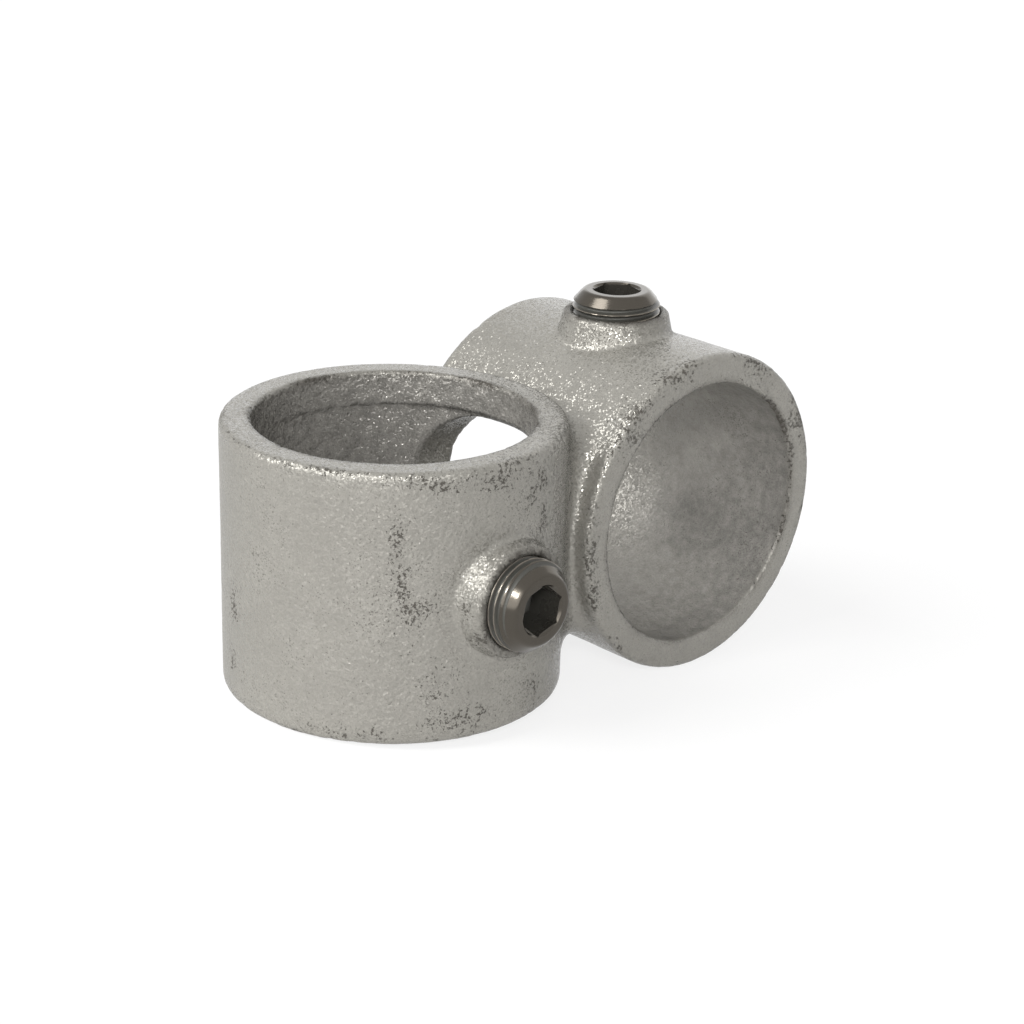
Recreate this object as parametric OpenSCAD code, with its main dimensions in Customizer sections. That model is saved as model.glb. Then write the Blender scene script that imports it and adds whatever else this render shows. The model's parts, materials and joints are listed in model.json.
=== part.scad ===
// Crossover tube clamp: two short sockets, cast as one piece, hold two tubes side by side
// at right angles. A set screw in each socket presses its tube against the far wall.
// Millimetres. The upright socket runs along Z, through the origin. The cross socket runs
// along X, offset along Y. A half turn about the line between them swaps the two sockets.

/* [Tubes and sockets] */
// Outside diameter of the tubes that the sockets take
tube_d = 48.3; // [42:0.1:62]
// How much wider a socket's bore is than its tube
tube_play = 1.3; // [0.6:0.1:2.4]
// Wall thickness of a socket
wall = 5.6; // [4.6:0.1:8]
// Length of a socket from rim to rim
socket_len = 49; // [46:0.5:64]
// Rounding of a rim's outer edge
rim_round = 1.2; // [0.5:0.1:1.8]
// Rounding of a bore's mouth
mouth_round = 0.6; // [0.3:0.1:1.5]

/* [Joined wall] */
// Metal between the two bores where they come closest
shared_wall = 5; // [4:0.1:7]
// Width of the square window that the core left between the two bores
window_w = 34; // [24:0.5:35]
// Corner radius of the window
window_corner = 12; // [4:0.5:12]
// Rounding of the window's edges
window_round = 1.1; // [0.4:0.1:1.4]
// How far past the window the blend between the sockets reaches
web_spread = 6; // [4.6:0.1:6.4]
// Corner radius of the blend's outline
web_corner = 6; // [3:0.5:16]

/* [Bore relief] */
// Length of the full-size land at each end of a bore
land_len = 6.3; // [4:0.1:9]
// Depth of the relief between the lands, on the joined side
relief_depth = 1.3; // [1:0.1:1.8]
// Shift of the relief towards the other socket, so that it fades out on the far wall
relief_shift = 0.8; // [0.3:0.1:0.9]

/* [Screw bosses] */
// Height of a boss above its socket
boss_h = 3.3; // [2.4:0.1:7]
// Wall of a boss around its screw, at the top
boss_wall = 1.6; // [1.2:0.05:4]
// Draft angle of a boss's side
boss_draft = 12; // [0:1:25]
// Rounding of a boss's top edge
boss_round = 1.1; // [0.5:0.1:2.4]
// Height of the blend at the foot of a boss
boss_fillet = 0.9; // [0.6:0.1:2.4]
// How far that blend reaches along the socket
boss_flare = 0.9; // [0.8:0.1:3.2]

/* [Set screws] */
// Outside diameter of the screw thread
screw_d = 16.4; // [12:0.1:20]
// Gap between a screw and its hole, on the radius
screw_gap = 0.05; // [0.02:0.01:0.1]
// Length of a set screw
screw_len = 12.7; // [11.5:0.1:20]
// How far the upright socket's screw, backed off, stays out of its bore
upright_gap = 0.8; // [0.1:0.1:2]
// How far the cross socket's screw, backed off, stays out of its bore
cross_gap = 0.2; // [0.1:0.1:2]
// Width of the outer end's chamfer
end_chamfer_w = 2; // [0.5:0.1:2.4]
// Height of the outer end's chamfer
end_chamfer_h = 2.3; // [0.5:0.1:3]
// Chamfer behind the point
point_chamfer = 2; // [0.5:0.1:2.4]
// Width of the ring that bites, around the cup of the point
point_ring = 0.5; // [0.3:0.1:1]
// Depth of the cup in the point
cup_depth = 1.3; // [0.6:0.1:2]
// Width of the hexagon socket across its flats
key_af = 8; // [5:0.5:8]
// Depth of the hexagon socket
key_depth = 6.8; // [4:0.1:7]
// Chamfer around the hexagon socket
key_chamfer = 0.35; // [0.1:0.05:0.6]
// Turn of the upright socket's screw about its own axis
upright_turn = 48; // [0:1:59]
// Turn of the cross socket's screw about its own axis
cross_turn = 44; // [0:1:59]

/* [Hidden] */
$fn = 96;

// Casting and screw colours
ZINC = [0.64, 0.63, 0.60];
GUNMETAL = [0.40, 0.37, 0.34];

// Sides of a blend, counted around it and across it
WEB_SIDES = 96;
WEB_STEPS = 8;
EDGE_SIDES = 60;
EDGE_STEPS = 5;
// A blend's border lies this far inside the faces that it runs into
SINK = 0.06;
// Cutters run this far past the faces that they open
PAST = 1;
// A limited rounding keeps this much of the face beside it
KEEP = 0.1;
// Half the point angle of a drilled hole
DRILL_HALF = 59;

bore_r = (tube_d + tube_play) / 2;
socket_r = bore_r + wall;
half_len = socket_len / 2;
axis_gap = 2 * bore_r + shared_wall;

window_half = window_w / 2;
web_half = min(window_half + web_spread, half_len - rim_round - KEEP);
relief_r = bore_r + relief_depth - relief_shift;
relief_half = half_len - land_len;

screw_r = screw_d / 2;
hole_r = screw_r + screw_gap;
boss_top_r = hole_r + boss_wall;
boss_top = socket_r + boss_h;
boss_edge_in = (1 - sin(boss_draft)) / cos(boss_draft);
boss_edge = min(boss_round, boss_wall / boss_edge_in);
boss_foot = min(boss_fillet, boss_h - boss_edge * (1 - sin(boss_draft)));

point_r = screw_r - point_chamfer;
cup_r = point_r - point_ring;
key_r = key_af / 2;
key_corner_r = key_r / cos(30);

// Height of a round bar's surface above its axis, at a distance off beside the axis
function crown(r, off) = sqrt(r * r - off * off);

// Slope of that surface along a ray that leaves the crest at the cosine c from the side
function crown_slope(r, p, c) = -p * c * c / crown(r, p * c);

// Point on a parabola arc from a to b, with its end tangents through c
function arc_point(a, c, b, t) = (1 - t) * (1 - t) * a + 2 * t * (1 - t) * c + t * t * b;

function arc_points(a, c, b, steps) = [for (k = [0 : steps]) arc_point(a, c, b, k / steps)];

// Distance from the centre to the edge of a square with rounded corners, at angle a
function square_reach(half, corner, a) =
    let (u = abs(cos(a)))
    let (v = abs(sin(a)))
    let (k = half - corner)
    half * min(u, v) <= k * max(u, v)
        ? half / max(u, v)
        : k * (u + v) + sqrt(pow(k * (u + v), 2) - 2 * k * k + corner * corner);

// Section of the blend between the sockets, in the half plane at angle a about Y.
// It leaves each socket along that socket's own slope.
function web_section(a) =
    let (out_r = square_reach(web_half, web_corner, a))
    let (low_slope = crown_slope(socket_r, out_r, cos(a)))
    let (high_slope = -crown_slope(socket_r, out_r, sin(a)))
    let (low_y = crown(socket_r - SINK, out_r * cos(a)))
    let (high_y = axis_gap - crown(socket_r - SINK, out_r * sin(a)))
    let (reach = (high_y - low_y) / (low_slope - high_slope))
    arc_points(
        [out_r, low_y],
        [out_r + reach, low_y + low_slope * reach],
        [out_r, high_y],
        WEB_STEPS
    );

// Radius of a boss's drafted side at the distance y from the socket's axis
function boss_r(y) = boss_top_r + (boss_top - y) * tan(boss_draft);

// Section of a boss's foot, from the socket up to the side of the boss
function foot_section(a) =
    let (draft = tan(boss_draft))
    let (side_y = crown(socket_r, boss_r(socket_r) * cos(a)) + boss_foot)
    let (side_r = boss_r(side_y) - SINK)
    let (out_r = boss_r(side_y - boss_foot) + boss_flare)
    let (out_y = crown(socket_r - SINK, out_r * cos(a)))
    let (slope = crown_slope(socket_r, out_r, cos(a)))
    let (meet_y = (out_y + slope * (side_r + side_y * draft - out_r)) / (1 + slope * draft))
    arc_points(
        [out_r, out_y],
        [side_r + (side_y - meet_y) * draft, meet_y],
        [side_r, side_y],
        EDGE_STEPS
    );

// Section of the window's rounded edge, from the relieved bore into the window
function window_section(a) =
    let (wall_r = square_reach(window_half, window_corner, a))
    let (out_r = wall_r + window_round)
    let (slope = crown_slope(relief_r, out_r, cos(a)))
    let (out_y = relief_shift + crown(relief_r - SINK, out_r * cos(a)))
    let (side_r = wall_r - SINK)
    let (side_y = relief_shift + crown(relief_r, side_r * cos(a)))
    arc_points(
        [out_r, out_y],
        [side_r, out_y - slope * (out_r - side_r)],
        [side_r, side_y + window_round],
        EDGE_STEPS
    );

// Solid around Y through one section for each angle, closed by cones to two points on Y
module blend_solid(sections, low_y, high_y) {
    sides = len(sections);
    row = len(sections[0]);
    ring = [
        for (i = [0 : sides - 1])
            let (a = 360 * i / sides)
            for (p = sections[i])
                [p[0] * cos(a), p[1], p[0] * sin(a)]
    ];
    tips = [[0, low_y, 0], [0, high_y, 0]];
    low_tip = sides * row;
    high_tip = low_tip + 1;
    walls = [
        for (i = [0 : sides - 1])
            let (j = (i + 1) % sides)
            for (k = [0 : row - 2])
                for (f = [
                    [i * row + k, j * row + k, j * row + k + 1],
                    [i * row + k, j * row + k + 1, i * row + k + 1]
                ])
                    f
    ];
    caps = [
        for (i = [0 : sides - 1])
            let (j = (i + 1) % sides)
            for (f = [
                [j * row, i * row, low_tip],
                [i * row + row - 1, j * row + row - 1, high_tip]
            ])
                f
    ];
    polyhedron(concat(ring, tips), concat(walls, caps));
}

function turns(sides) = [for (i = [0 : sides - 1]) 360 * i / sides];

// Moves what is drawn for the upright socket to the cross socket
module at_cross() {
    translate([0, axis_gap, 0])
        rotate(a = 180, v = [1, 0, 1])
            children();
}

module at_both() {
    children();
    at_cross()
        children();
}

// Solid drum of a socket, with rounded rims
module socket_drum() {
    rotate_extrude() {
        translate([0, -half_len])
            square([socket_r - rim_round, socket_len]);
        translate([0, rim_round - half_len])
            square([socket_r, socket_len - 2 * rim_round]);
        for (s = [-1, 1])
            translate([socket_r - rim_round, s * (half_len - rim_round)])
                circle(rim_round);
    }
}

// Half section of a boss: a drafted side that rounds over into the top
module boss_section() {
    edge_r = boss_top_r - boss_edge * boss_edge_in;
    edge_y = boss_top - boss_edge;
    polygon([
        [0, bore_r],
        [boss_r(bore_r), bore_r],
        [edge_r + boss_edge * cos(boss_draft), edge_y + boss_edge * sin(boss_draft)],
        [edge_r, boss_top],
        [0, boss_top]
    ]);
    translate([edge_r, edge_y])
        circle(boss_edge);
}

// Boss on the +X side of the upright socket, with its foot blended into the socket
module boss() {
    rotate([0, 90, 0])
        rotate_extrude()
            boss_section();
    rotate([0, 0, -90])
        blend_solid([for (a = turns(EDGE_SIDES)) foot_section(a)], bore_r / 2, socket_r);
}

// Metal between the sockets, hollowed all round like a saddle
module web() {
    blend_solid([for (a = turns(WEB_SIDES)) web_section(a)], bore_r / 2, axis_gap - bore_r / 2);
}

// Half section of the bore, which widens into a rounded mouth at both rims
module bore_section() {
    full = half_len - mouth_round;
    difference() {
        translate([0, -half_len - PAST])
            square([bore_r + mouth_round, socket_len + 2 * PAST]);
        translate([bore_r, -full])
            square([mouth_round + PAST, 2 * full]);
        for (s = [-1, 1])
            translate([bore_r + mouth_round, s * full])
                circle(mouth_round);
    }
}

// Everything that is open in a socket: bore, relief between the lands and screw hole
module socket_opening() {
    rotate_extrude()
        bore_section();
    translate([0, relief_shift, 0])
        cylinder(r = relief_r, h = 2 * relief_half, center = true);
    rotate([0, 90, 0])
        cylinder(r = hole_r, h = boss_top + PAST);
}

module rounded_square(half, corner) {
    square([2 * half, 2 * (half - corner)], center = true);
    square([2 * (half - corner), 2 * half], center = true);
    for (x = [-1, 1], y = [-1, 1])
        translate([x * (half - corner), y * (half - corner)])
            circle(corner);
}

// Window through the joined wall, along Y from bore to bore, with rounded edges
module window() {
    translate([0, bore_r / 2, 0])
        rotate([-90, 0, 0])
            linear_extrude(axis_gap - bore_r)
                rounded_square(window_half, window_corner);
    at_both()
        blend_solid([for (a = turns(EDGE_SIDES)) window_section(a)], bore_r / 3, axis_gap / 2);
}

module clamp_body() {
    color(ZINC)
        difference() {
            union() {
                at_both() {
                    socket_drum();
                    boss();
                }
                web();
            }
            at_both()
                socket_opening();
            window();
        }
}

// Set screw on the Z axis with its cupped point at the bottom
module set_screw() {
    key_floor = screw_len - key_depth;
    difference() {
        rotate_extrude()
            polygon([
                [0, cup_depth],
                [cup_r, 0],
                [point_r, 0],
                [screw_r, point_chamfer],
                [screw_r, screw_len - end_chamfer_h],
                [screw_r - end_chamfer_w, screw_len],
                [0, screw_len]
            ]);
        translate([0, 0, key_floor])
            cylinder(r = key_corner_r, h = key_depth + PAST, $fn = 6);
        // Drilled bottom below the hexagon
        translate([0, 0, key_floor - key_r / tan(DRILL_HALF)])
            cylinder(r1 = 0, r2 = key_r, h = key_r / tan(DRILL_HALF));
        translate([0, 0, screw_len - key_chamfer])
            cylinder(r1 = key_corner_r - key_chamfer, r2 = key_corner_r + key_chamfer, h = 2 * key_chamfer);
    }
}

// Puts a screw in the upright socket's hole, turned about its own axis, with a gap to the bore
module screw_in_hole(turn, gap) {
    rotate([0, 90, 0])
        translate([0, 0, bore_r + gap])
            rotate([0, 0, turn])
                set_screw();
}

module upright_set_screw() {
    color(GUNMETAL)
        screw_in_hole(upright_turn, upright_gap);
}

module cross_set_screw() {
    color(GUNMETAL)
        at_cross()
            screw_in_hole(cross_turn, cross_gap);
}

clamp_body();
upright_set_screw();
cross_set_screw();
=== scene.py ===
"""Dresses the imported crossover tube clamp: one galvanised casting and two threaded set screws.

Lengths are metres in the part's own frame. The upright socket's axis is Z through the origin, the cross
socket's axis runs along X, and each set screw stands in the boss on the outside of its own socket.
"""

import json
import math

import bpy
import numpy as np
from bpy.props import FloatProperty, FloatVectorProperty, IntProperty, PointerProperty
from mathutils import Matrix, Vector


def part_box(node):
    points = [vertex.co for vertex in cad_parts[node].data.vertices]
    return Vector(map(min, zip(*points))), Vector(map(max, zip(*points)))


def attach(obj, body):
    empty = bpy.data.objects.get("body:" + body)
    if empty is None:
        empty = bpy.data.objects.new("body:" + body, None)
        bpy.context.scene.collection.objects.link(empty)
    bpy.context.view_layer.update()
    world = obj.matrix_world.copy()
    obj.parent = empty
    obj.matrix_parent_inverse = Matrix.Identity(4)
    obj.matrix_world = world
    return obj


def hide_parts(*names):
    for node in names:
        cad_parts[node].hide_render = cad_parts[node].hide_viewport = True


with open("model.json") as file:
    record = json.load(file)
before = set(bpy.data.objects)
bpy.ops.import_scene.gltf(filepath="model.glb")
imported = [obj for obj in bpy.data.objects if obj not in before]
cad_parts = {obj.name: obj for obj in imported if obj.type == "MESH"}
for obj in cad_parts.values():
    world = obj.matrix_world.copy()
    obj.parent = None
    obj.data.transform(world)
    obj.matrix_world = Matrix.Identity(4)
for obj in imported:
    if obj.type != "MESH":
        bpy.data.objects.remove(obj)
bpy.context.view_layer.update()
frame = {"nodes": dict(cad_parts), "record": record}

bl_info = {
    "name": "Crossover tube clamp",
    "version": (1, 0, 0),
    "blender": (4, 5, 0),
    "location": "3D View > Sidebar > Tube clamp",
    "description": "Galvanised casting and threaded set screws for the crossover tube clamp",
    "category": "Object",
}

MM = 0.001
body_low, body_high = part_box("clamp_body")
screw_low, screw_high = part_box("upright_set_screw")
mounts = {m["name"]: m for m in frame["record"]["mounts"]}

# Main sizes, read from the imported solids
SOCKET_R = -body_low.x
AXIS_GAP = body_high.y - SOCKET_R
BORE_R = mounts["upright_bore"]["dims"]["r_mm"] * MM
BOSS_TOP = body_high.x
SCREW_R = screw_high.y
SCREW_LENGTH = screw_high.x - screw_low.x


class CastingSettings(bpy.types.PropertyGroup):
    """Skin and finish of the zinc casting"""

    grain: FloatProperty(
        name="Mesh grain",
        description="Edge of the even quads that the casting's surface is cut into",
        default=0.64 * MM,
        min=0.4 * MM,
        max=3 * MM,
        precision=5,
        subtype="DISTANCE",
        unit="LENGTH",
    )
    half_length: FloatProperty(
        name="Half socket length",
        description="From the middle of a socket to its end face",
        default=24.5 * MM,
        precision=5,
        subtype="DISTANCE",
        unit="LENGTH",
    )
    lump: FloatProperty(
        name="Lump height",
        description="Height of the broad waves that the sand mould leaves",
        default=0.07 * MM,
        precision=6,
        subtype="DISTANCE",
        unit="LENGTH",
    )
    peel: FloatProperty(
        name="Peel height",
        description="Height of the small bumps of the zinc coat",
        default=0.035 * MM,
        precision=6,
        subtype="DISTANCE",
        unit="LENGTH",
    )
    nick: FloatProperty(
        name="Nick depth",
        description="Depth of the small nicks along the rims",
        default=0.22 * MM,
        precision=6,
        subtype="DISTANCE",
        unit="LENGTH",
    )
    bright: FloatVectorProperty(
        name="Bright zinc",
        description="Colour of the fresh zinc",
        default=(0.299, 0.289, 0.261),
        min=0,
        max=1,
        subtype="COLOR",
    )
    dull: FloatVectorProperty(
        name="Dull zinc",
        description="Colour of the weathered zinc between the bright patches",
        default=(0.237, 0.2285, 0.206),
        min=0,
        max=1,
        subtype="COLOR",
    )
    bore: FloatVectorProperty(
        name="Bore",
        description="Colour of the zinc inside the sockets",
        default=(0.229, 0.22, 0.202),
        min=0,
        max=1,
        subtype="COLOR",
    )
    # Also used for the grime and painted shade round the screw holes and along the mouths.
    pit: FloatVectorProperty(
        name="Pit",
        description="Colour of the dark pits where the coat is broken",
        default=(0.06, 0.054, 0.046),
        min=0,
        max=1,
        subtype="COLOR",
    )


class ScrewSettings(bpy.types.PropertyGroup):
    """Form and finish of the two set screws"""

    pitch: FloatProperty(
        name="Thread pitch",
        description="Distance between two thread crests",
        default=1.337 * MM,
        precision=6,
        subtype="DISTANCE",
        unit="LENGTH",
    )
    thread_depth: FloatProperty(
        name="Thread depth",
        description="Height of the thread from its root to its crest",
        default=0.8 * MM,
        precision=6,
        subtype="DISTANCE",
        unit="LENGTH",
    )
    key_width: FloatProperty(
        name="Key width",
        description="Width of the hexagon socket across its flats",
        default=8 * MM,
        precision=5,
        subtype="DISTANCE",
        unit="LENGTH",
    )
    key_depth: FloatProperty(
        name="Key depth",
        description="Depth of the hexagon socket",
        default=6.8 * MM,
        precision=5,
        subtype="DISTANCE",
        unit="LENGTH",
    )
    key_lead: FloatProperty(
        name="Key lead-in",
        description="Chamfer round the mouth of the hexagon socket",
        default=0.35 * MM,
        precision=6,
        subtype="DISTANCE",
        unit="LENGTH",
    )
    end_width: FloatProperty(
        name="End chamfer width",
        description="Width of the chamfer round the key end, across the screw",
        default=2 * MM,
        precision=5,
        subtype="DISTANCE",
        unit="LENGTH",
    )
    end_height: FloatProperty(
        name="End chamfer height",
        description="Height of the chamfer round the key end, along the screw",
        default=2.3 * MM,
        precision=5,
        subtype="DISTANCE",
        unit="LENGTH",
    )
    end_round: FloatProperty(
        name="End rounding",
        description="Height of the rounded edge between the end chamfer and the end face",
        default=0.5 * MM,
        precision=5,
        subtype="DISTANCE",
        unit="LENGTH",
    )
    point_chamfer: FloatProperty(
        name="Point chamfer",
        description="Chamfer round the point, the same across and along the screw",
        default=2 * MM,
        precision=5,
        subtype="DISTANCE",
        unit="LENGTH",
    )
    point_ring: FloatProperty(
        name="Point ring",
        description="Width of the flat ring round the cup of the point",
        default=0.5 * MM,
        precision=5,
        subtype="DISTANCE",
        unit="LENGTH",
    )
    cup_depth: FloatProperty(
        name="Cup depth",
        description="Depth of the cup in the point",
        default=1.3 * MM,
        precision=5,
        subtype="DISTANCE",
        unit="LENGTH",
    )
    upright_turn: FloatProperty(
        name="Upright screw turn",
        description="Turn of a hexagon corner from +Y towards +Z",
        default=math.radians(18),
        subtype="ANGLE",
        unit="ROTATION",
    )
    cross_turn: FloatProperty(
        name="Cross screw turn",
        description="Turn of a hexagon corner from +X towards +Y",
        default=math.radians(44),
        subtype="ANGLE",
        unit="ROTATION",
    )
    columns: IntProperty(
        name="Columns",
        description="Points round the screw, a multiple of 6",
        default=192,
        min=48,
        max=384,
    )
    steel: FloatVectorProperty(
        name="Screw steel",
        description="Colour of the turned steel",
        default=(0.075, 0.067, 0.056),
        min=0,
        max=1,
        subtype="COLOR",
    )
    # Also the colour of the painted shade on the thread flanks.
    oil: FloatVectorProperty(
        name="Oiled root",
        description="Colour of the oily dirt in the thread roots and the key socket",
        default=(0.055, 0.054, 0.047),
        min=0,
        max=1,
        subtype="COLOR",
    )


class StageSettings(bpy.types.PropertyGroup):
    """Camera, lights and floor"""

    azimuth: FloatProperty(
        name="Camera azimuth",
        description="Camera's turn round the part from -Y towards +X",
        default=math.radians(46.303),
        subtype="ANGLE",
        unit="ROTATION",
    )
    elevation: FloatProperty(
        name="Camera elevation",
        description="Camera's height over the horizon",
        default=math.radians(20.951),
        subtype="ANGLE",
        unit="ROTATION",
    )
    roll: FloatProperty(
        name="Camera roll",
        description="Camera's turn about its own line of sight",
        default=math.radians(1.541),
        subtype="ANGLE",
        unit="ROTATION",
    )
    distance: FloatProperty(
        name="Camera distance",
        description="From the camera to the middle of the part",
        default=0.4372,
        precision=4,
        subtype="DISTANCE",
        unit="LENGTH",
    )
    lens: FloatProperty(
        name="Lens",
        description="Focal length on a 36 mm sensor, in millimetres",
        default=83.09,
    )
    shift_x: FloatProperty(
        name="Lens shift across",
        description="Shift of the picture to the right, as a share of its width",
        default=0.0066,
        precision=4,
    )
    shift_y: FloatProperty(
        name="Lens shift up",
        description="Shift of the picture upwards, as a share of its width",
        default=-0.0016,
        precision=4,
    )
    key_level: FloatProperty(
        name="Key light",
        description="Strength of the upper half of the tall soft light on the left",
        default=2.5,
        min=0,
    )
    low_level: FloatProperty(
        name="Low key light",
        description="Strength of the lower half of the tall soft light on the left",
        default=0.8,
        min=0,
    )
    front_level: FloatProperty(
        name="Front light",
        description="Strength of the small lamp over the camera",
        default=1.15,
        min=0,
    )
    fill_level: FloatProperty(
        name="Fill light",
        description="Strength of the broad light from low beside the camera",
        default=2.8,
        min=0,
    )
    back_level: FloatProperty(
        name="Back light",
        description="Strength of the broad light from behind the part",
        default=1.0,
        min=0,
    )
    room_level: FloatProperty(
        name="Room light",
        description="Strength of the even light from all round",
        default=0.2,
        min=0,
    )


class Wire:
    """A shader socket that arithmetic can be written with: each operator adds one Math node."""

    def __init__(self, graph, socket):
        self.graph = graph
        self.socket = socket

    def __add__(self, other):
        return self.graph.math("ADD", self, other)

    def __radd__(self, other):
        return self.graph.math("ADD", other, self)

    def __sub__(self, other):
        return self.graph.math("SUBTRACT", self, other)

    def __rsub__(self, other):
        return self.graph.math("SUBTRACT", other, self)

    def __mul__(self, other):
        return self.graph.math("MULTIPLY", self, other)

    def __rmul__(self, other):
        return self.graph.math("MULTIPLY", other, self)

    def clipped(self):
        """The value held between 0 and 1."""
        return self.graph.node("ShaderNodeClamp", {}, {"Value": self})


class Graph:
    """A node tree that is filled by expressions."""

    def __init__(self, tree):
        self.tree = tree
        self.tree.nodes.clear()

    def node(self, kind, settings, inputs, output=0):
        """Adds one node: its settings first, then the values or links of its sockets."""
        node = self.tree.nodes.new(kind)
        for name, value in settings.items():
            setattr(node, name, value)
        for name, value in inputs.items():
            if isinstance(value, Wire):
                self.tree.links.new(value.socket, node.inputs[name])
            else:
                node.inputs[name].default_value = value
        return Wire(self, node.outputs[output]) if len(node.outputs) else None

    def math(self, operation, first, second):
        return self.node("ShaderNodeMath", {"operation": operation}, {0: first, 1: second})

    def mask(self, name):
        """A value that the piece's mesh carries at each vertex."""
        return self.node("ShaderNodeAttribute", {"attribute_name": name}, {}, "Fac")

    def noise(self, place, cell, detail, rough):
        """Cloudy noise from -0.5 to 0.5 whose patches are about one cell wide."""
        inputs = {"Vector": place, "Scale": 1 / cell, "Detail": detail, "Roughness": rough}
        return self.node("ShaderNodeTexNoise", {"noise_dimensions": "3D"}, inputs, "Fac") - 0.5

    def cells(self, place, cell):
        """A random vector from 0 to 1 for each of the irregular cells that fill space."""
        inputs = {"Vector": place, "Scale": 1 / cell}
        return self.node("ShaderNodeTexVoronoi", {"feature": "F1"}, inputs, "Color")

    def vector(self, operation, inputs):
        return self.node("ShaderNodeVectorMath", {"operation": operation}, inputs)

    def lean(self, normal, cells, amount):
        """A normal that leans its own way in each cell, by up to half the amount along each axis."""
        centred = self.vector("SUBTRACT", {0: cells, 1: (0.5, 0.5, 0.5)})
        shift = self.vector("SCALE", {0: centred, "Scale": amount})
        return self.vector("NORMALIZE", {0: self.vector("ADD", {0: normal, 1: shift})})

    def blend(self, share, first, second):
        """A colour that goes from the first to the second as the share goes from 0 to 1."""
        return self.node("ShaderNodeMix", {"data_type": "RGBA"}, {0: share, 6: first, 7: second}, 2)


def opaque(colour):
    return (*colour, 1.0)


def new_material(name):
    material = bpy.data.materials.new(name)
    material.use_nodes = True
    return material, Graph(material.node_tree)


def place_piece(name, mesh, material):
    piece = bpy.data.objects.new(name, mesh)
    bpy.context.scene.collection.objects.link(piece)
    mesh.materials.clear()
    mesh.materials.append(material)
    return piece


def put_mask(mesh, name, values):
    """Stores one value per vertex for the materials to read."""
    layer = mesh.attributes.new(name, "FLOAT", "POINT")
    layer.data.foreach_set("value", values.astype(np.float32))


def smooth_step(low, high, value):
    """0 below low, 1 above high, and 3t^2 - 2t^3 between them."""
    t = np.clip((value - low) / (high - low), 0, 1)
    return t * t * (3 - 2 * t)


def hill(distance, reach):
    """A rounded hill: exp(-(distance / reach)^2)."""
    return np.exp(-((distance / reach) ** 2))


# Large primes that spread the lattice corners over the random slopes
LATTICE_PRIMES = np.array([73856093, 19349663, 83492791])
SLOPES = 4096


def mould_noise(points, cell, seed):
    """Gradient noise, about -0.7 to 0.7: each lattice corner has a random slope, and the eight slopes
    round a point are weighed by the fade 6t^5 - 15t^4 + 10t^3 of its place in the cell."""
    draw = np.random.default_rng(seed)
    slopes = draw.normal(size=(SLOPES, 3))
    slopes /= np.linalg.norm(slopes, axis=1, keepdims=True)
    scaled = points / cell
    base = np.floor(scaled).astype(np.int64)
    inside = scaled - base
    fade = inside**3 * (inside * (6 * inside - 15) + 10)
    total = np.zeros(len(points))
    for corner in np.ndindex(2, 2, 2):
        step = np.array(corner)
        spot = base + step
        mixed = np.bitwise_xor.reduce(spot * LATTICE_PRIMES, axis=1)
        slope = slopes[mixed % SLOPES]
        weight = np.prod(np.where(step == 1, fade, 1 - fade), axis=1)
        total += weight * np.sum(slope * (inside - step), axis=1)
    return total


def socket_places(points):
    """Both sockets' own coordinates: distance along the axis, and two distances across it."""
    x, y, z = points.T
    return (z, x, y), (x, y - AXIS_GAP, z)


def screw_places(points):
    """Both screws' own coordinates: distance out along the screw, and two distances across it."""
    x, y, z = points.T
    return (x, y, z), (z, x, y - AXIS_GAP)


# Points closer than this are one point
MERGE = 1e-7


def even_copy(node, grain):
    """A copy of a solid's surface in even quads: its doubles are merged, it is cut on a cubic grid, and
    each point is laid back on the solid."""
    piece = bpy.data.objects.new("even_copy", node.data.copy())
    bpy.context.scene.collection.objects.link(piece)
    weld = piece.modifiers.new("weld", "WELD")
    weld.merge_threshold = MERGE
    cut = piece.modifiers.new("cut", "REMESH")
    cut.mode = "VOXEL"
    cut.voxel_size = grain
    lay = piece.modifiers.new("lay", "SHRINKWRAP")
    lay.target = node
    lay.wrap_method = "NEAREST_SURFACEPOINT"
    shown = piece.evaluated_get(bpy.context.evaluated_depsgraph_get())
    mesh = bpy.data.meshes.new_from_object(shown)
    bpy.data.objects.remove(piece)
    return mesh


def read_points(mesh):
    points = np.zeros(len(mesh.vertices) * 3, np.float32)
    mesh.vertices.foreach_get("co", points)
    return points.reshape(-1, 3).astype(float)


def read_normals(mesh):
    normals = np.zeros(len(mesh.vertices) * 3, np.float32)
    mesh.vertex_normals.foreach_get("vector", normals)
    return normals.reshape(-1, 3).astype(float)


def true_rounds(points, normals):
    """Moves points that lie on a facet of a socket's wall to the true cylinder: radius times the unit
    vector across the axis."""
    reach = 0.04 * MM
    same_way = 0.99
    relief_shift = 0.8 * MM
    relief_r = BORE_R + 0.5 * MM
    across = {"upright": (0, 1), "cross": (1, 2)}
    rounds = (
        ("upright", (0, 0), SOCKET_R),
        ("upright", (0, 0), BORE_R),
        ("upright", (0, relief_shift), relief_r),
        ("cross", (AXIS_GAP, 0), SOCKET_R),
        ("cross", (AXIS_GAP, 0), BORE_R),
        ("cross", (AXIS_GAP - relief_shift, 0), relief_r),
    )
    for socket, centre, radius in rounds:
        columns = list(across[socket])
        spoke = points[:, columns] - centre
        length = np.linalg.norm(spoke, axis=1)
        unit = spoke / np.maximum(length, MERGE)[:, None]
        facing = np.abs(np.sum(unit * normals[:, columns], axis=1))
        lying = (np.abs(length - radius) < reach) & (facing > same_way)
        points[np.ix_(lying, columns)] = centre + unit[lying] * radius
    return points


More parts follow.
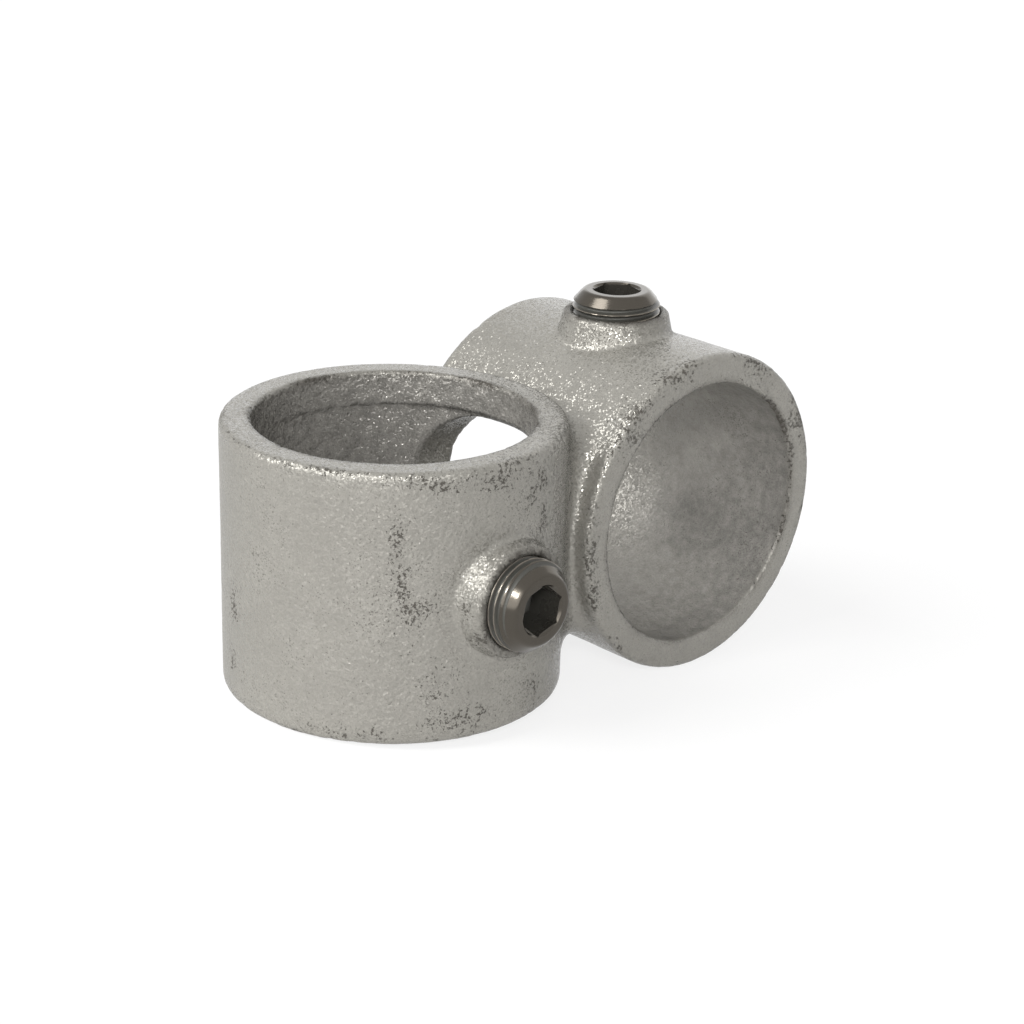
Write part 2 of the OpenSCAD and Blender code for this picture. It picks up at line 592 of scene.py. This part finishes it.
# Where the coat is scuffed: place, reach across and reach along Z, in millimetres, and strength
SCUFFS = (
    ((23.2, -19.6, 12.0), 1.6, 6.0, 0.8),
    ((23.8, -18.8, 5.0), 2.2, 5.0, 0.85),
    ((25.0, -17.2, 0.2), 4.4, 3.0, 0.88),
    ((-7.9, -29.3, -7.0), 2.2, 5.0, 0.8),
    ((-9.0, -29.0, -17.1), 2.0, 3.0, 0.8),
    ((30.9, -10.5, 0.2), 2.0, 2.0, 0.8),
    ((32.2, -8.9, -4.8), 1.8, 2.4, 0.8),
    ((27.0, -14.0, 22.3), 6.0, 1.8, 0.8),
    ((30.3, -3.0, 21.6), 6.0, 2.2, 0.8),
    ((29.6, 6.5, 18.5), 4.6, 5.0, 0.75),
    ((29.2, 8.5, 12.5), 1.8, 5.5, 0.85),
    ((29.0, -9.0, -20.5), 8.0, 2.6, 0.75),
    ((18.0, -24.5, -22.4), 9.0, 1.8, 0.6),
    ((29.6, 6.0, -19.0), 4.0, 4.0, 0.7),
    ((24.5, 26.0, 0.0), 1.4, 8.0, 0.65),
    ((24.5, 26.6, -9.0), 1.4, 6.0, 0.7),
    ((24.5, 35.0, 20.5), 5.0, 5.5, 0.72),
    ((24.0, 48.0, 29.8), 4.0, 2.0, 0.7),
    ((27.0, -14.0, -15.0), 7.0, 6.0, 0.42),
    ((24.3, 68.5, 25.0), 6.0, 4.0, 0.75),
    ((24.3, 80.0, 12.0), 3.5, 7.0, 0.75),
    ((24.3, 45.0, 28.0), 6.0, 2.5, 0.8),
    ((-30.0, 6.0, -6.0), 4.0, 7.0, 0.7),
    ((-24.5, 70.0, 21.0), 4.0, 4.0, 0.7),
    ((10.0, 83.0, 10.0), 5.0, 4.0, 0.6),
)


def edge_masks(points, half):
    """Where the outer edges of the end faces, the mouths and the insides of the bores lie: hills across
    both edges, broken up by noise, and for each socket a step that is 1 inside its bore."""
    rim_width, rim_depth = 1.6 * MM, 1.3 * MM
    mouth_width, mouth_depth = 0.9 * MM, 1.0 * MM
    patchy = np.clip(0.55 + 1.5 * mould_noise(points, 7 * MM, 15), 0, 1)
    rim = np.zeros(len(points))
    mouth = np.zeros(len(points))
    bores = []
    for along, one, two in socket_places(points):
        away = np.hypot(one, two)
        end = half - np.abs(along)
        outer = hill(SOCKET_R - away, rim_width) * hill(end, rim_depth)
        inner = hill(away - BORE_R, mouth_width) * hill(end, mouth_depth)
        rim = np.maximum(rim, patchy * outer)
        mouth = np.maximum(mouth, patchy * inner)
        inside = smooth_step(BORE_R + 2.2 * MM, BORE_R + 1.5 * MM, away)
        bores.append(inside * smooth_step(-0.2 * MM, 1.2 * MM, end))
    return rim, mouth, bores


def cross_socket_painted_light(points):
    """Painted light and shade in the cross bore: about 1, painted light, on its far wall away from the
    near mouth, below 0, painted shade, by the near mouth, and lowest in a painted shaded band along the
    lower far wall."""
    x, y, z = points.T
    across = y - AXIS_GAP
    far_side = smooth_step(-14 * MM, 18 * MM, across)
    painted_light_and_shade = far_side * smooth_step(26 * MM, -6 * MM, x) - 0.2 * smooth_step(-6 * MM, 10 * MM, x)
    painted_shade_band = hill(z + 12 * MM, 7 * MM) * smooth_step(8 * MM, 18 * MM, across)
    return painted_light_and_shade - 1.5 * painted_shade_band * smooth_step(24 * MM, -12 * MM, x)


def plain_wall(points, half):
    """1 on the upright socket's outer wall, and less towards the boss, the web and the rims."""
    x, y, z = points.T
    off_boss = smooth_step(11 * MM, 15 * MM, np.hypot(y, z)) + smooth_step(0, -10 * MM, x)
    off_web = smooth_step(16 * MM, 8 * MM, y)
    off_rim = smooth_step(0.8 * MM, 3 * MM, half - np.abs(z))
    wall = hill(np.hypot(x, y) - SOCKET_R, 0.4 * MM)
    return wall * off_rim * off_web * np.clip(off_boss, 0, 1)


def hole_ring(points):
    """A hill on the boss's end face round each screw hole."""
    width, reach, height = 1.1 * MM, 0.8 * MM, 1.7 * MM
    ring = np.zeros(len(points))
    for along, one, two in screw_places(points):
        away = np.hypot(one, two) - SCREW_R
        flat = hill(np.maximum(away - width, 0), reach)
        ring = np.maximum(ring, flat * hill(along - BOSS_TOP, height))
    return ring


def scuff_marks(points):
    """The highest of the scuffs' hills at each point."""
    scuff = np.zeros(len(points))
    for place, across, tall, strength in SCUFFS:
        offset = points / MM - place
        flat = np.hypot(offset[:, 0], offset[:, 1])
        scuff = np.maximum(scuff, strength * hill(flat, across) * hill(offset[:, 2], tall))
    return scuff


def casting_masks(points, half):
    """Values at each point that say where the casting's edges, bores, wear and plain walls lie, and the
    painted light and shade in the cross bore.
    """
    rim, mouth, bores = edge_masks(points, half)
    # The cross bore mask fades to a quarter at the far end, so the deep bore takes more of the paler
    # outside zinc: painted light from the far open end.
    painted_light_fade = 0.25 + 0.75 * smooth_step(-18 * MM, 8 * MM, points[:, 0])
    cross_bore = bores[1] * painted_light_fade
    return {
        "rim": rim,
        "mouth": mouth,
        "upright_bore": bores[0],
        "cross_bore": cross_bore,
        "ring": hole_ring(points),
        "scuff": scuff_marks(points),
        "satin": plain_wall(points, half),
        # Painted light and shade in the cross bore
        "clean": cross_bore * cross_socket_painted_light(points),
    }


def casting_skin(points, normals, masks, settings):
    """Sand-cast skin: broad waves and the zinc's small bumps along the normal, nicks sunk into the rims,
    and the screw holes left as they are."""
    calm = 1 - smooth_step(0.25, 0.6, masks["ring"])
    for along, one, two in screw_places(points):
        hole = smooth_step(SCREW_R + 0.6 * MM, SCREW_R + 0.2 * MM, np.hypot(one, two))
        calm *= 1 - hole * smooth_step(0, 2 * MM, along - BORE_R + 3 * MM)
    lump = settings.lump * mould_noise(points, 8 * MM, 11)
    coarse = mould_noise(points, 2.6 * MM, 12)
    fine = mould_noise(points, 1.4 * MM, 13)
    peel = settings.peel * (coarse + 0.8 * fine) * (1 + 0.6 * masks["upright_bore"])
    chips = smooth_step(0.16, 0.42, mould_noise(points, 1.9 * MM, 14))
    nicks = settings.nick * chips * np.maximum(masks["rim"], masks["mouth"])
    height = calm * (lump + peel - nicks)
    return points + normals * height[:, None]


def zinc_material(settings):
    """Hot-dip zinc: bright and dull clouds, small flat grains that lean their own way and glint, dark pits
    in the scuffs and along the rims, fine dark dots, bores that are duller than the outside, painted light
    and shade in the cross bore, and darkening round the screw holes and along the mouths that is partly
    grime and partly painted shade."""
    material, graph = new_material("galvanised_zinc")
    place = graph.node("ShaderNodeTexCoord", {}, {}, "Object")
    cloud = graph.noise(place, 9 * MM, 3.0, 0.55)
    patch = graph.noise(place, 3.2 * MM, 2.0, 0.5)
    mottle = graph.noise(place, 1.7 * MM, 3.0, 0.6)
    peel = graph.noise(place, 0.9 * MM, 2.0, 0.5)
    speck = graph.noise(place, 0.62 * MM, 3.0, 0.7)
    pepper = graph.noise(place, 0.36 * MM, 2.0, 0.6)
    grain = graph.noise(place, 0.3 * MM, 1.0, 0.5)
    flakes = graph.cells(place, 0.27 * MM)
    rim = graph.mask("rim")
    mouth = graph.mask("mouth")
    upright_bore = graph.mask("upright_bore")
    cross_bore = graph.mask("cross_bore")
    ring = graph.mask("ring")
    scuff = graph.mask("scuff")
    satin = graph.mask("satin")
    clean = graph.mask("clean")
    # The pit colour also paints the grime and shade round the screw holes and along the mouths.
    soil_and_shade = opaque(settings.pit)
    light_bore = opaque([1.5 * c for c in settings.bore])
    dark_bore = opaque([0.5 * c for c in settings.bore])

    tone = ((cloud + 0.2) * 1.1 + mottle * 0.9 + grain * 1.2).clipped()
    open_air = graph.blend(tone, opaque(settings.dull), opaque(settings.bright))
    stain = mottle * 0.9 + grain * 0.6 + patch * 0.5
    # The last term paints light and shade into the cross bore's colour.
    veil = (0.5 + stain + upright_bore * 0.08 + clean * 0.5).clipped()
    inner = graph.blend(veil, dark_bore, light_bore)
    zinc = graph.blend((upright_bore + cross_bore).clipped(), open_air, inner)

    # A pit or a dot shows where its noise passes a level, and worn places lower that level
    worn = scuff * 0.24 + rim * 0.2 + mouth * 0.25 + ring * 0.1 + patch * 0.22
    pits = ((speck + worn - 0.21) * 30).clipped()
    dots = ((pepper + cloud * 0.35 + patch * 0.12 + scuff * 0.07 - 0.155) * 25).clipped()
    # Darkening round each screw hole on the boss end face: partly grime, partly painted shade where the
    # screw meets the boss.
    hole_grime_and_shade = ring * (0.72 + mottle * 1.8 + patch * 1.6)
    # Darkening along the mouths: partly grime, partly painted shade on the shadowed mouth edges.
    mouth_grime_and_shade = mouth * (0.95 + mottle * 2)
    grime_and_shade = (hole_grime_and_shade + mouth_grime_and_shade).clipped()
    soiled_and_shaded = graph.blend(grime_and_shade * 0.85, zinc, soil_and_shade)
    flecked = graph.blend(dots * 0.62, soiled_and_shaded, soil_and_shade)
    colour = graph.blend(pits * 0.9, flecked, soil_and_shade)

    rough = 0.18 + mottle * 0.2 + pits * 0.4 + cross_bore * 0.28 + satin * 0.16 + grime_and_shade * 0.2
    coarse = mottle * (upright_bore * 1.6 + cross_bore * 0.6)
    height = (0.5 + peel) * (0.3 + satin * 0.35) + coarse - pits * 0.4
    bump = graph.node(
        "ShaderNodeBump",
        {},
        {"Strength": 1.0, "Distance": 0.33 * MM, "Height": height},
    )
    amount = 0.5 - cross_bore * 0.38 - satin * 0.17 - upright_bore * 0.06
    shader = graph.node(
        "ShaderNodeBsdfPrincipled",
        {},
        {
            "Base Color": colour,
            "Metallic": 0.36 - pits * 0.25 - cross_bore * 0.24 - upright_bore * 0.04,
            "Roughness": rough.clipped(),
            "Specular IOR Level": 0.3,
            "Specular Tint": (0.6, 0.6, 0.6, 1),
            "Normal": graph.lean(bump, flakes, amount),
        },
    )
    graph.node("ShaderNodeOutputMaterial", {}, {"Surface": shader})
    return material


def thread_height(turn, along, pitch):
    """Height of the thread from 0 at the root to 1 at the crest: a triangle wave of the distance along the
    screw less one pitch per turn, with its crest narrowed by a power and both ends rounded by
    3t^2 - 2t^3."""
    narrowing = 1.3
    root_floor = 0.05
    phase = (along - pitch * turn / (2 * math.pi)) / pitch
    wave = 1 - np.abs(2 * (phase - np.floor(phase)) - 1)
    return smooth_step(root_floor, 1.0, wave**narrowing)


def hexagon_reach(turn, flat):
    """Distance from the axis to a hexagon's flats: flat / cos(angle from the nearest flat's middle)."""
    sixth = math.pi / 3
    return flat / np.cos(np.mod(turn, sixth) - sixth / 2)


# Rows of points along each pitch of the thread
ROWS_PER_PITCH = 18
# Half the angle of the drill that leaves the cone under the key socket
DRILL_HALF = math.radians(59)


def screw_rows(settings, turn):
    """The screw's whole skin as rows round its axis, from the cup in the point to the floor of the key
    socket. Each row has a height along the screw and a distance from the axis at every turn, and says how
    deep in the thread it lies, how much of it is turned bare and how near it is to a crest."""
    length = SCREW_LENGTH
    point_r = SCREW_R - settings.point_chamfer
    cup_r = point_r - settings.point_ring
    end_r = SCREW_R - settings.end_width
    flat = settings.key_width / 2
    corner = flat / math.cos(math.pi / 6)
    ones = np.ones_like(turn)
    heights, reaches, roots, marks, crests = [], [], [], [], []

    def row(height, reach, root=0.0, mark=0.0, crest=0.0):
        heights.append(height * ones)
        reaches.append(reach * ones)
        roots.append(root * ones)
        marks.append(mark * ones)
        crests.append(crest * ones)

    for share in np.linspace(0.1, 1, 8):
        row(settings.cup_depth * (1 - share), cup_r * share, 0.3)
    row(0, (cup_r + point_r) / 2)
    steps = int(length / settings.pitch * ROWS_PER_PITCH)
    rounded = settings.end_round
    cut = 0.3 * settings.thread_depth
    for along in np.linspace(0, length - rounded * 1.05, steps):
        crest = thread_height(turn, along, settings.pitch)
        thread = SCREW_R - settings.thread_depth * (1 - crest)
        point = point_r + along * ones
        left = (length - along) / settings.end_height
        end = end_r + settings.end_width * left * ones
        reach = np.minimum(np.minimum(thread, point), end)
        shown = np.clip((np.minimum(point, end) - reach) / cut, 0, 1)
        polished = (1 - shown) if along > length / 2 else 0
        row(along, reach, (1 - crest) * shown, polished, smooth_step(0.75, 1, crest))
    edge_r = end_r + settings.end_width * rounded / settings.end_height
    face_r = end_r - rounded
    for t in np.linspace(0, 1, 9):
        reach = (1 - t) ** 2 * edge_r + 2 * t * (1 - t) * end_r + t**2 * face_r
        row(length - rounded * (1 - t) ** 2, reach, 0, 1 - 0.8 * t)
    for share in np.linspace(0, 1, 6)[1:]:
        row(length, face_r + (corner - face_r) * share, 0, 0.15)
    hexagon = hexagon_reach(turn, flat)
    lead = np.minimum(settings.key_lead, corner - hexagon)
    hairline = 0.01 * MM
    row(length - 0.5 * lead, corner - 0.5 * lead, 0, 0.3)
    row(length - lead, corner - lead, 0, 0)
    row(length - lead - hairline, hexagon, 0.2)
    for share in np.linspace(0.06, 1, 10):
        row(length - settings.key_depth * share, hexagon, 0.2 + 0.2 * share)
    floor = length - settings.key_depth
    cone = flat / math.tan(DRILL_HALF)
    for share in np.linspace(1, 0.15, 6):
        row(floor - cone * (1 - share), flat * share, 0.4)
    groups = (heights, reaches, roots, marks, crests)
    return tuple(np.array(group) for group in groups) + (floor - cone,)


# Edges with a larger turn than this stay sharp
SHARP_EDGE = math.radians(32)


def screw_mesh(name, settings, turn_start, axis, across, up, start):
    """Rows of points at height times axis plus distance times (cos across + sin up), closed by a point at
    each end. The start is the middle of the screw's point."""
    count = settings.columns
    local = 2 * math.pi * np.arange(count) / count
    heights, reaches, roots, marks, crests, floor = screw_rows(settings, local)
    rows = len(heights)
    turn = local + turn_start
    spokes = np.cos(turn)[:, None] * across + np.sin(turn)[:, None] * up
    body = heights[:, :, None] * axis + reaches[:, :, None] * spokes[None]
    poles = np.array([settings.cup_depth * axis, floor * axis])
    points = np.concatenate([body.reshape(-1, 3), poles]) + start
    here = np.arange(count)
    after = (here + 1) % count
    low = (np.arange(rows - 1) * count)[:, None]
    quads = np.stack([low + here, low + after, low + count + after, low + count + here], axis=-1)
    cup = np.stack([np.full(count, rows * count), after, here], axis=-1)
    last = (rows - 1) * count
    floor_fan = np.stack([last + here, last + after, np.full(count, rows * count + 1)], axis=-1)
    faces = quads.reshape(-1, 4).tolist() + cup.tolist() + floor_fan.tolist()
    mesh = bpy.data.meshes.new(name)
    mesh.from_pydata(points.tolist(), [], faces)
    mesh.shade_smooth()
    mesh.set_sharp_from_angle(angle=SHARP_EDGE)
    put_mask(mesh, "root", np.append(roots.ravel(), [0.3, 1]))
    put_mask(mesh, "turned", np.append(marks.ravel(), [0, 0]))
    put_mask(mesh, "crest", np.append(crests.ravel(), [0, 0]))
    put_mask(mesh, "reach", np.append(reaches.ravel(), [0, 0]))
    mesh.update()
    return mesh


def screw_material(settings):
    """Dark turned steel: oily thread roots with the flanks darkened further as painted shade, crests
    partly rubbed bright and partly painted as highlights, and faint turning rings on the chamfer.
    """
    material, graph = new_material("oiled_gunmetal")
    ring_gap = 0.22 * MM
    place = graph.node("ShaderNodeTexCoord", {}, {}, "Object")
    cloud = graph.noise(place, 3 * MM, 3.0, 0.6)
    fine = graph.noise(place, 0.35 * MM, 2.0, 0.6)
    root = graph.mask("root")
    turned = graph.mask("turned")
    crest = graph.mask("crest")
    reach = graph.mask("reach")
    steel = opaque(settings.steel)
    worn = opaque([1.1 * c for c in settings.steel])
    # Crests three times as bright as the steel: partly rubbed bare, partly painted highlight along the
    # crests.
    rubbed_and_highlit = opaque([3 * c for c in settings.steel])

    plain = graph.blend(((cloud + 0.1) * 1.2 + turned * 0.8).clipped(), steel, worn)
    base = graph.blend((crest * (1 - turned) * 0.9).clipped(), plain, rubbed_and_highlit)
    # Oily dirt in the thread roots and key socket, spread up the thread flanks as painted shade.
    dirt_and_shade = (root * 3.0 - 0.15 + fine * 0.25 * root).clipped()
    colour = graph.blend(dirt_and_shade, base, opaque(settings.oil))
    phase = reach * (2 * math.pi / ring_gap)
    rings = graph.node("ShaderNodeMath", {"operation": "SINE"}, {0: phase})
    height = rings * 0.12 * turned + fine * 0.5
    bump = graph.node(
        "ShaderNodeBump",
        {},
        {"Strength": 0.5, "Distance": 0.02 * MM, "Height": height},
    )
    rough = (0.19 + cloud * 0.16 + root * 0.3).clipped()
    shader = graph.node(
        "ShaderNodeBsdfPrincipled",
        {},
        {"Base Color": colour, "Metallic": 0.9 - dirt_and_shade * 0.6, "Roughness": rough, "Normal": bump},
    )
    graph.node("ShaderNodeOutputMaterial", {}, {"Surface": shader})
    return material


# A casting with fewer points than this was not cut into even quads
FEWEST_POINTS = 1000


class CLAMP_OT_casting(bpy.types.Operator):
    """Lays the sand-cast, galvanised skin over the clamp's body"""

    bl_idname = "tube_clamp.casting"
    bl_label = "Zinc casting"

    def execute(self, context):
        settings = context.scene.clamp_casting
        mesh = even_copy(frame["nodes"]["clamp_body"], settings.grain)
        if len(mesh.vertices) < FEWEST_POINTS:
            raise RuntimeError("the casting's surface could not be cut into even quads")
        mesh.name = "zinc_casting"
        points = true_rounds(read_points(mesh), read_normals(mesh))
        mesh.vertices.foreach_set("co", points.astype(np.float32).ravel())
        mesh.update()
        masks = casting_masks(points, settings.half_length)
        points = casting_skin(points, read_normals(mesh), masks, settings)
        mesh.vertices.foreach_set("co", points.astype(np.float32).ravel())
        mesh.shade_smooth()
        mesh.update()
        for name, values in masks.items():
            put_mask(mesh, name, values)
        piece = place_piece("zinc_casting", mesh, zinc_material(settings))
        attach(piece, "clamp")
        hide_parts("clamp_body")
        return {"FINISHED"}


class CLAMP_OT_screws(bpy.types.Operator):
    """Makes the two threaded set screws"""

    bl_idname = "tube_clamp.screws"
    bl_label = "Set screws"

    def execute(self, context):
        settings = context.scene.clamp_screws
        material = screw_material(settings)
        x, y, z = np.eye(3)
        origin = np.zeros(3)
        cross = AXIS_GAP * y
        rows = (
            ("upright", settings.upright_turn, x, y, z, origin),
            ("cross", settings.cross_turn, z, x, y, cross),
        )
        for socket, turn, axis, across, up, centre in rows:
            name = socket + "_threaded_screw"
            low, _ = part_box(socket + "_set_screw")
            start = centre + np.dot(low, axis) * axis
            mesh = screw_mesh(name, settings, turn, axis, across, up, start)
            piece = place_piece(name, mesh, material)
            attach(piece, socket + "_screw")
            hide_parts(socket + "_set_screw")
        return {"FINISHED"}


def seen_rays(graph):
    """1 for rays that show the background: straight from the camera, by a reflection or through glass."""
    names = ("Is Camera Ray", "Is Glossy Ray", "Is Transmission Ray")
    rays = [graph.node("ShaderNodeLightPath", {}, {}, name) for name in names]
    return (rays[0] + rays[1] + rays[2]).clipped()


# Direction from the part to each lamp, and how wide the lamp looks in degrees
LAMPS = (
    ("key", (-0.215, -0.661, 0.719), 38),
    ("low", (-0.282, -0.869, 0.407), 30),
    ("front", (0.62, -0.578, 0.53), 8),
    ("fill", (0.64, -0.765, 0.07), 80),
    ("back", (-0.45, 0.87, 0.15), 80),
)


def add_sun(name, direction, level, spread):
    """A far lamp whose light comes from the direction, with its own Z axis turned towards it."""
    light = bpy.data.lights.new(name, "SUN")
    light.energy = level
    light.angle = spread
    lamp = bpy.data.objects.new(name, light)
    back = np.array(direction) / np.linalg.norm(direction)
    side = np.cross((0.0, 0.0, 1.0), back)
    side /= np.linalg.norm(side)
    up = np.cross(back, side)
    rows = np.vstack([np.array([side, up, back, (0, 0, 0)]).T, (0, 0, 0, 1)])
    lamp.matrix_world = Matrix(rows.tolist())
    bpy.context.scene.collection.objects.link(lamp)


def floor_mesh(half):
    """A flat disc under the part: it touches the upright socket's lower rim at its outer side and lies
    along the lowest line of the cross socket, so the part rests on it. Rings of points at radius times
    (cos, sin)."""
    rim_to_middle = 0.058
    columns = 96
    rim = np.array([-SOCKET_R, -half])
    away = np.array([AXIS_GAP, 0.0]) - rim
    reach = np.linalg.norm(away)
    tilt = math.atan2(away[1], away[0]) - math.asin(SOCKET_R / reach)
    along = np.array([0, math.cos(tilt), math.sin(tilt)])
    across = np.array([1.0, 0, 0])
    middle = np.array([0, rim[0], rim[1]]) + rim_to_middle * along
    turn = np.linspace(0, 2 * math.pi, columns, endpoint=False)
    rings = np.array([0.15, 0.5, 1.5, 6.0])
    spokes = np.cos(turn)[:, None] * across + np.sin(turn)[:, None] * along
    points = (rings[:, None, None] * spokes[None]).reshape(-1, 3)
    points = np.concatenate([points, np.zeros((1, 3))]) + middle
    here = np.arange(columns)
    after = (here + 1) % columns
    low = (np.arange(len(rings) - 1) * columns)[:, None]
    high = low + columns
    quads = np.stack([low + here, high + here, high + after, low + after], axis=-1)
    fan = np.stack([here, after, np.full(columns, len(points) - 1)], axis=-1)
    mesh = bpy.data.meshes.new("floor")
    mesh.from_pydata(points.tolist(), [], quads.reshape(-1, 4).tolist() + fan.tolist())
    mesh.update()
    return mesh


def floor_material():
    """White paper that shows white, with the part's soft shadow."""
    glow = 0.8
    material, graph = new_material("white_paper")
    seen = seen_rays(graph)
    paper = graph.node("ShaderNodeBsdfDiffuse", {}, {"Color": (0.97, 0.97, 0.97, 1)})
    white = graph.node("ShaderNodeEmission", {}, {"Color": (1, 1, 1, 1), "Strength": 1.0})
    shader = graph.node("ShaderNodeMixShader", {}, {0: seen * glow, 1: paper, 2: white})
    graph.node("ShaderNodeOutputMaterial", {}, {"Surface": shader})
    return material


def room_light(level):
    """An even room: white where it is seen, and dimmer where it lights the part."""
    world = bpy.data.worlds.new("room")
    world.use_nodes = True
    graph = Graph(world.node_tree)
    seen = seen_rays(graph)
    strength = seen * (1 - level) + level
    light = graph.node("ShaderNodeBackground", {}, {"Color": (1, 1, 1, 1), "Strength": strength})
    graph.node("ShaderNodeOutputWorld", {}, {"Surface": light})
    bpy.context.scene.world = world


def add_camera(settings):
    """The camera looks at the middle of the part from the azimuth and elevation, and rolls about its own
    line of sight."""
    azimuth, elevation, roll = settings.azimuth, settings.elevation, settings.roll
    right = np.array([math.cos(azimuth), math.sin(azimuth), 0])
    level = np.array([math.sin(azimuth), -math.cos(azimuth), 0])
    back = math.cos(elevation) * level + np.array([0, 0, math.sin(elevation)])
    up = np.cross(back, right)
    turned = math.cos(roll) * right + math.sin(roll) * up
    upright = math.cos(roll) * up - math.sin(roll) * right
    target = np.array([0, AXIS_GAP / 2, 0])
    place = target + settings.distance * back
    data = bpy.data.cameras.new("camera")
    data.sensor_width = 36
    data.lens = settings.lens
    data.shift_x = settings.shift_x
    data.shift_y = settings.shift_y
    data.clip_start = 0.01
    data.clip_end = 100
    camera = bpy.data.objects.new("camera", data)
    rows = np.vstack([np.array([turned, upright, back, place]).T, (0, 0, 0, 1)])
    camera.matrix_world = Matrix(rows.tolist())
    bpy.context.scene.collection.objects.link(camera)
    bpy.context.scene.camera = camera


class CLAMP_OT_stage(bpy.types.Operator):
    """Sets the floor, the lights and the camera"""

    bl_idname = "tube_clamp.stage"
    bl_label = "Stage"

    def execute(self, context):
        settings = context.scene.clamp_stage
        floor = place_piece("floor", floor_mesh(context.scene.clamp_casting.half_length), floor_material())
        for name, direction, spread in LAMPS:
            level = getattr(settings, name + "_level")
            add_sun(name + "_light", direction, level, math.radians(spread))
        room_light(settings.room_level)
        add_camera(settings)
        context.scene.view_settings.view_transform = "Standard"
        return {"FINISHED"}


class CLAMP_PT_panel(bpy.types.Panel):
    """Lists the clamp's pieces and their settings"""

    bl_idname = "CLAMP_PT_panel"
    bl_label = "Tube clamp"
    bl_space_type = "VIEW_3D"
    bl_region_type = "UI"
    bl_category = "Tube clamp"

    def draw(self, context):
        for step, group in STEPS:
            box = self.layout.box()
            box.operator(step.bl_idname)
            settings = getattr(context.scene, group)
            for name in settings.__annotations__:
                box.prop(settings, name)


STEPS = (
    (CLAMP_OT_stage, "clamp_stage"),
    (CLAMP_OT_casting, "clamp_casting"),
    (CLAMP_OT_screws, "clamp_screws"),
)
GROUPS = {
    "clamp_casting": CastingSettings,
    "clamp_screws": ScrewSettings,
    "clamp_stage": StageSettings,
}


def register():
    for name, group in GROUPS.items():
        bpy.utils.register_class(group)
        setattr(bpy.types.Scene, name, PointerProperty(type=group))
    for step, _ in STEPS:
        bpy.utils.register_class(step)
    bpy.utils.register_class(CLAMP_PT_panel)


def unregister():
    bpy.utils.unregister_class(CLAMP_PT_panel)
    for step, _ in reversed(STEPS):
        bpy.utils.unregister_class(step)
    for name, group in reversed(GROUPS.items()):
        delattr(bpy.types.Scene, name)
        bpy.utils.unregister_class(group)


def main():
    register()
    bpy.ops.tube_clamp.stage()
    bpy.ops.tube_clamp.casting()
    bpy.ops.tube_clamp.screws()


if __name__ == "__main__":
    main()
